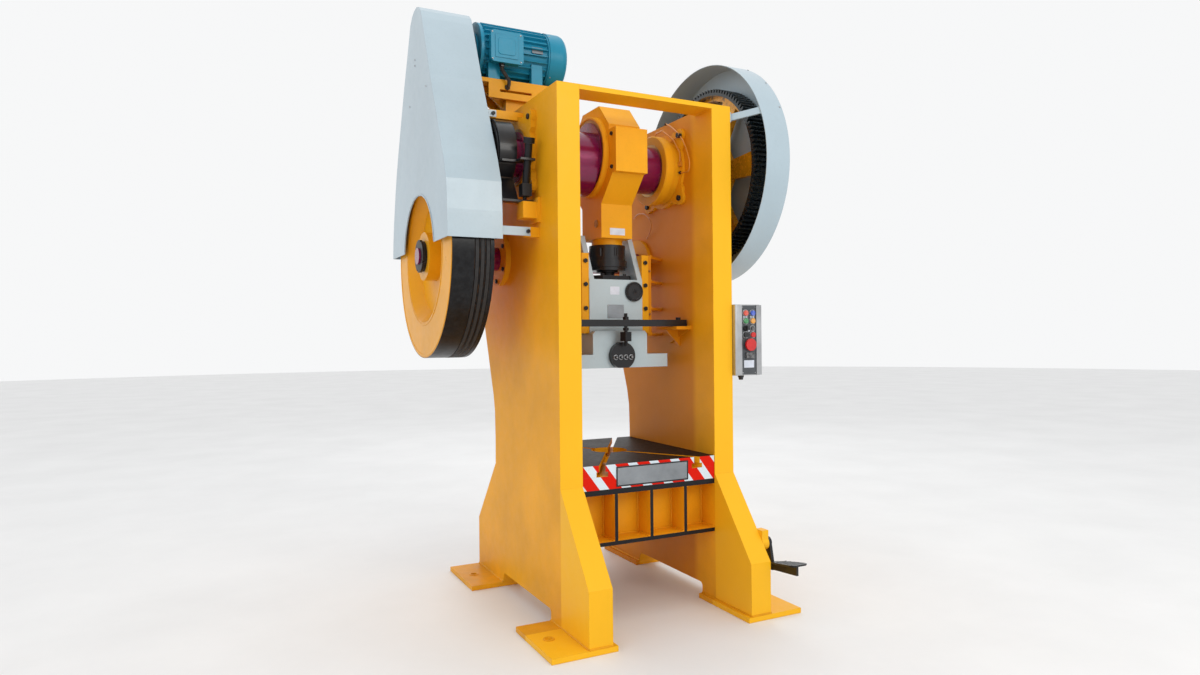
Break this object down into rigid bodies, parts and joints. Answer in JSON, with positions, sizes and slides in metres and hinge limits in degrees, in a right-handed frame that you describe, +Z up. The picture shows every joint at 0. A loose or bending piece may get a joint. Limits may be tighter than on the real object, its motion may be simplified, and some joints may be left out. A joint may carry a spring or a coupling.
{
  "type": "mechanical stamping press",
  "caption": "Straight-sided geared power press with crank-driven ram, flywheel and belt drive under a sheet guard, ribbed bed with T-slotted bolster, and foot-pedal clutch.",
  "frame": {"origin": "centre of the four anchor holes on the floor, which is also the ram's axis", "axes": "+Z up, -Y the operator's side, +X towards the big gear"},
  "size_m": [1.601, 1.701, 2.908],
  "materials": {
    "frame_paint": "orange-yellow machine enamel",
    "flywheel_paint": "enamelled web, blackened rim",
    "gear_iron": "greased",
    "black_steel": "blackened",
    "lining": "moulded friction lining",
    "bare_steel": "machined",
    "bronze": "machined bronze",
    "magenta_coat": "tinted rust-proofing film on ground steel",
    "grey_sheet": "light grey enamel on sheet",
    "ram_paint": "light grey enamel",
    "motor_paint": "blue enamel",
    "conduit": "flexible conduit",
    "black_plastic": "moulded",
    "belt_rubber": "belt rubber",
    "box_aluminium": "anodised extrusion",
    "panel_plastic": "dark grey",
    "red_plastic": "gloss",
    "lamp_plastic": "gloss",
    "copper_line": "painted tube"
  },
  "bodies": {
    "frame": {"left_column": "frame_paint", "right_column": "frame_paint", "top_tie_bar": "frame_paint", "bed_frame": "frame_paint", "bolster_plate": "black_steel", "front_plate": "bare_steel", "crank_bearings": "frame_paint", "crank_bushes": "bronze", "frame_bolts": "black_steel", "brake_band": "black_steel", "brake_lining": "lining", "brake_spring_rod": "black_steel", "back_shaft_bearings": "frame_paint", "gear_guard": "grey_sheet", "guard_straps": "grey_sheet", "belt_guard": "grey_sheet", "motor_base": "frame_paint", "motor_body": "motor_paint", "fan_cowl": "motor_paint", "terminal_box": "motor_paint", "terminal_lid": "motor_paint", "motor_feed_conduit": "conduit", "v_belts": "belt_rubber", "gibs": "frame_paint", "knockout_bar": "black_steel", "knockout_stop_screw": "black_steel", "control_box": "box_aluminium", "control_panel": "panel_plastic", "panel_lamps": "lamp_plastic", "grease_lines": "copper_line", "bolster_wedges": "black_steel"},
    "flywheel": {"flywheel": "flywheel_paint", "back_shaft": "magenta_coat", "pinion": "gear_iron", "flywheel_ring_nuts": "black_steel"},
    "big_gear": {"main_gear": "gear_iron", "gear_bush": "bronze"},
    "motor_rotor": {"motor_rotor": "bare_steel", "motor_fan": "black_plastic", "motor_pulley": "gear_iron"},
    "crank": {"crankshaft": "magenta_coat", "brake_drum": "black_steel", "clutch_ring": "bare_steel"},
    "con_rod": {"connecting_rod": "frame_paint", "con_rod_cap": "frame_paint", "con_rod_bush": "bronze", "adjusting_screw": "bare_steel", "screw_lock_nut": "black_steel"},
    "ram": {"ram": "ram_paint", "ball_retainer": "black_steel", "ram_bolts": "black_steel", "shank_clamp": "black_steel", "ram_round_cap": "black_steel"},
    "pedal": {"foot_pedal": "black_steel"},
    "pull_rod": {"pull_rod": "bare_steel"},
    "trip_lever": {"trip_lever": "black_steel"},
    "push_button_left": {"push_button_left": "black_plastic"},
    "push_button_right": {"push_button_right": "black_plastic"},
    "stop_mushroom": {"stop_mushroom": "red_plastic"},
    "mode_selector": {"mode_selector": "black_plastic"}
  },
  "joints": [
    {"name": "flywheel_spin", "type": "hinge", "parent": "frame", "child": "flywheel", "pos_m": [0, 0.29041, 1.69], "axis": [1, 0, 0], "continuous": true},
    {"name": "big_gear_spin", "type": "hinge", "parent": "frame", "child": "big_gear", "pos_m": [0, 0, 2.15], "axis": [1, 0, 0], "continuous": true},
    {"name": "motor_spin", "type": "hinge", "parent": "frame", "child": "motor_rotor", "pos_m": [0, 0.3105, 2.741], "axis": [1, 0, 0], "continuous": true},
    {"name": "crank_turn", "type": "hinge", "parent": "frame", "child": "crank", "pos_m": [0, 0, 2.15], "axis": [1, 0, 0], "range_deg": [0, 180]},
    {"name": "con_rod_swing", "type": "hinge", "parent": "crank", "child": "con_rod", "pos_m": [0, 0, 2.185], "axis": [1, 0, 0], "range_deg": [-180, 0]},
    {"name": "ram_slide", "type": "slide", "parent": "frame", "child": "ram", "axis": [0, 0, 1], "range_m": [-0.07, 0]},
    {"name": "pedal_press", "type": "hinge", "parent": "frame", "child": "pedal", "pos_m": [0.5, -0.6175, 0.322], "axis": [1, 0, 0], "range_deg": [0, 8], "stiffness_Nm_per_rad": 60, "springref_deg": -20.05},
    {"name": "pull_rod_slide", "type": "slide", "parent": "frame", "child": "pull_rod", "axis": [0, 0, 1], "range_m": [0, 0.04468]},
    {"name": "trip_lever_swing", "type": "hinge", "parent": "frame", "child": "trip_lever", "pos_m": [0.5, -0.1675, 1.9], "axis": [1, 0, 0], "range_deg": [-19.8, 0]},
    {"name": "push_left", "type": "slide", "parent": "frame", "child": "push_button_left", "axis": [0, 1, 0], "range_m": [0, 0.0035], "stiffness_N_per_m": 1500, "springref_m": -0.002},
    {"name": "push_right", "type": "slide", "parent": "frame", "child": "push_button_right", "axis": [0, 1, 0], "range_m": [0, 0.0035], "stiffness_N_per_m": 1500, "springref_m": -0.002},
    {"name": "stop_press", "type": "slide", "parent": "frame", "child": "stop_mushroom", "axis": [0, 1, 0], "range_m": [0, 0.006], "stiffness_N_per_m": 1500, "springref_m": -0.002},
    {"name": "selector_turn", "type": "hinge", "parent": "frame", "child": "mode_selector", "pos_m": [0.522, -0.46, 1.322], "axis": [0, 1, 0], "range_deg": [-45, 45]}
  ],
  "couplings": [
    {"joint": "big_gear_spin", "follows": "flywheel_spin", "ratio": -0.21429},
    {"joint": "motor_spin", "follows": "flywheel_spin", "ratio": 5},
    {"joint": "con_rod_swing", "follows": "crank_turn", "ratio": -1},
    {"joint": "ram_slide", "follows": "crank_turn", "m_per_rad": -0.022282},
    {"joint": "pull_rod_slide", "follows": "pedal_press", "m_per_rad": 0.32},
    {"joint": "trip_lever_swing", "follows": "pedal_press", "ratio": -2.4615}
  ]
}
